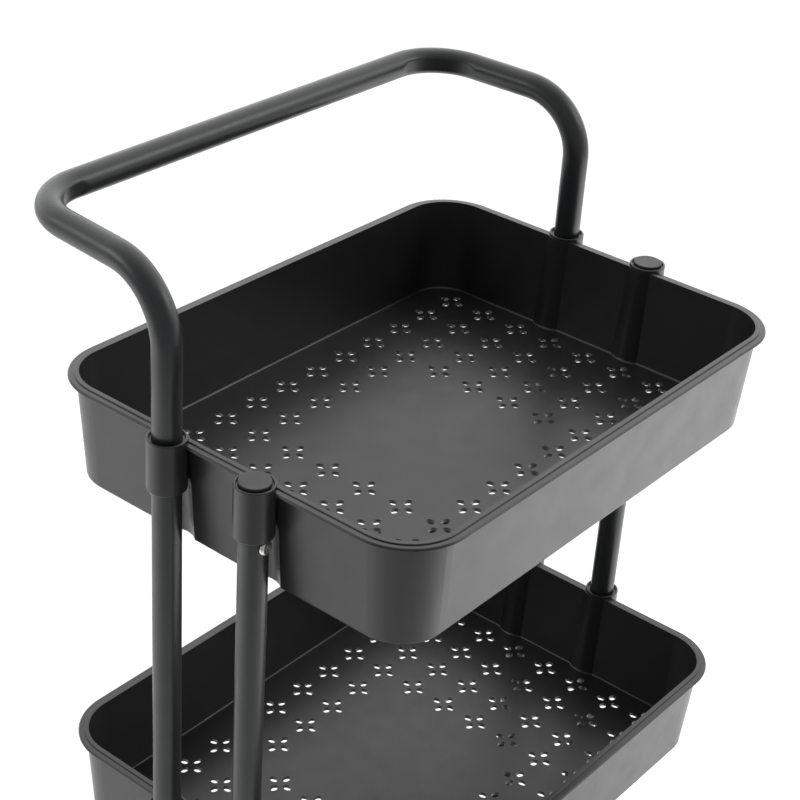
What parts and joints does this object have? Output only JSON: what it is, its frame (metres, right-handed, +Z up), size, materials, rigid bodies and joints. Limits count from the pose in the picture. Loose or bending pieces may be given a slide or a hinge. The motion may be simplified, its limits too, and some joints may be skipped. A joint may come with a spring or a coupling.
{
  "type": "rolling utility trolley",
  "caption": "Rolling utility trolley: moulded trays with perforated floors on round tube posts, a bent tube push handle and swivel castors.",
  "frame": {"origin": "on the floor under the middle of the whole trolley's bounding box", "axes": "+X along the trays' long sides, +Y towards the push handle, +Z up"},
  "size_m": [0.447, 0.3364, 0.8669],
  "materials": {
    "tray_plastic": "fine moulded satin texture",
    "coated_tube": "satin powder coat",
    "cap_plastic": "satin",
    "plug_plastic": "satin",
    "screw_steel": "bright plated",
    "castor_plastic": "fine texture",
    "castor_steel": "zinc plated",
    "wheel_plastic": "satin",
    "tyre_rubber": "soft tread",
    "pedal_plastic": "satin"
  },
  "bodies": {
    "trolley": {"top_tray": "tray_plastic", "middle_tray": "tray_plastic", "bottom_tray": "tray_plastic", "handle_tube": "coated_tube", "upper_post_front_left": "coated_tube", "lower_post_front_left": "coated_tube", "upper_post_front_right": "coated_tube", "lower_post_front_right": "coated_tube", "upper_post_rear_left": "coated_tube", "lower_post_rear_left": "coated_tube", "upper_post_rear_right": "coated_tube", "lower_post_rear_right": "coated_tube", "post_cap_left": "cap_plastic", "post_cap_right": "cap_plastic", "foot_plug_front_left": "plug_plastic", "foot_plug_front_right": "plug_plastic", "foot_plug_rear_left": "plug_plastic", "foot_plug_rear_right": "plug_plastic", "stop_screws": "screw_steel", "foot_screws": "screw_steel", "castor_front_left_sleeve": "castor_plastic", "castor_front_left_stem": "castor_steel", "castor_front_left_washer": "castor_steel", "castor_front_right_sleeve": "castor_plastic", "castor_front_right_stem": "castor_steel", "castor_front_right_washer": "castor_steel", "castor_rear_left_sleeve": "castor_plastic", "castor_rear_left_stem": "castor_steel", "castor_rear_left_washer": "castor_steel", "castor_rear_right_sleeve": "castor_plastic", "castor_rear_right_stem": "castor_steel", "castor_rear_right_washer": "castor_steel"},
    "castor_front_left_swivel": {"castor_front_left_fork": "castor_plastic", "castor_front_left_axle": "castor_steel"},
    "castor_front_left_roller": {"castor_front_left_wheel": "wheel_plastic", "castor_front_left_tyre": "tyre_rubber"},
    "castor_front_right_swivel": {"castor_front_right_fork": "castor_plastic", "castor_front_right_axle": "castor_steel"},
    "castor_front_right_roller": {"castor_front_right_wheel": "wheel_plastic", "castor_front_right_tyre": "tyre_rubber"},
    "castor_rear_left_swivel": {"castor_rear_left_fork": "castor_plastic", "castor_rear_left_axle": "castor_steel", "castor_rear_left_brake_pin": "castor_steel"},
    "castor_rear_left_roller": {"castor_rear_left_wheel": "wheel_plastic", "castor_rear_left_tyre": "tyre_rubber"},
    "castor_rear_left_brake": {"castor_rear_left_brake_pedal": "pedal_plastic"},
    "castor_rear_right_swivel": {"castor_rear_right_fork": "castor_plastic", "castor_rear_right_axle": "castor_steel", "castor_rear_right_brake_pin": "castor_steel"},
    "castor_rear_right_roller": {"castor_rear_right_wheel": "wheel_plastic", "castor_rear_right_tyre": "tyre_rubber"},
    "castor_rear_right_brake": {"castor_rear_right_brake_pedal": "pedal_plastic"}
  },
  "joints": [
    {"name": "castor_front_left_turn", "type": "hinge", "parent": "trolley", "child": "castor_front_left_swivel", "pos_m": [-0.15875, -0.1067, 0.0578], "axis": [0, 0, 1], "continuous": true},
    {"name": "castor_front_left_roll", "type": "hinge", "parent": "castor_front_left_swivel", "child": "castor_front_left_roller", "pos_m": [-0.15875, -0.0927, 0.025], "axis": [1, 0, 0], "continuous": true},
    {"name": "castor_front_right_turn", "type": "hinge", "parent": "trolley", "child": "castor_front_right_swivel", "pos_m": [0.15875, -0.1067, 0.0578], "axis": [0, 0, 1], "continuous": true},
    {"name": "castor_front_right_roll", "type": "hinge", "parent": "castor_front_right_swivel", "child": "castor_front_right_roller", "pos_m": [0.15875, -0.0927, 0.025], "axis": [1, 0, 0], "continuous": true},
    {"name": "castor_rear_left_turn", "type": "hinge", "parent": "trolley", "child": "castor_rear_left_swivel", "pos_m": [-0.15875, 0.0826, 0.0578], "axis": [0, 0, 1], "continuous": true},
    {"name": "castor_rear_left_roll", "type": "hinge", "parent": "castor_rear_left_swivel", "child": "castor_rear_left_roller", "pos_m": [-0.15875, 0.0966, 0.025], "axis": [1, 0, 0], "continuous": true},
    {"name": "castor_rear_left_brake_press", "type": "hinge", "parent": "castor_rear_left_swivel", "child": "castor_rear_left_brake", "pos_m": [-0.15875, 0.11599, 0.04982], "axis": [-1, 0, 0], "range_deg": [0, 16]},
    {"name": "castor_rear_right_turn", "type": "hinge", "parent": "trolley", "child": "castor_rear_right_swivel", "pos_m": [0.15875, 0.0826, 0.0578], "axis": [0, 0, 1], "continuous": true},
    {"name": "castor_rear_right_roll", "type": "hinge", "parent": "castor_rear_right_swivel", "child": "castor_rear_right_roller", "pos_m": [0.15875, 0.0966, 0.025], "axis": [1, 0, 0], "continuous": true},
    {"name": "castor_rear_right_brake_press", "type": "hinge", "parent": "castor_rear_right_swivel", "child": "castor_rear_right_brake", "pos_m": [0.15875, 0.11599, 0.04982], "axis": [-1, 0, 0], "range_deg": [0, 16]}
  ]
}
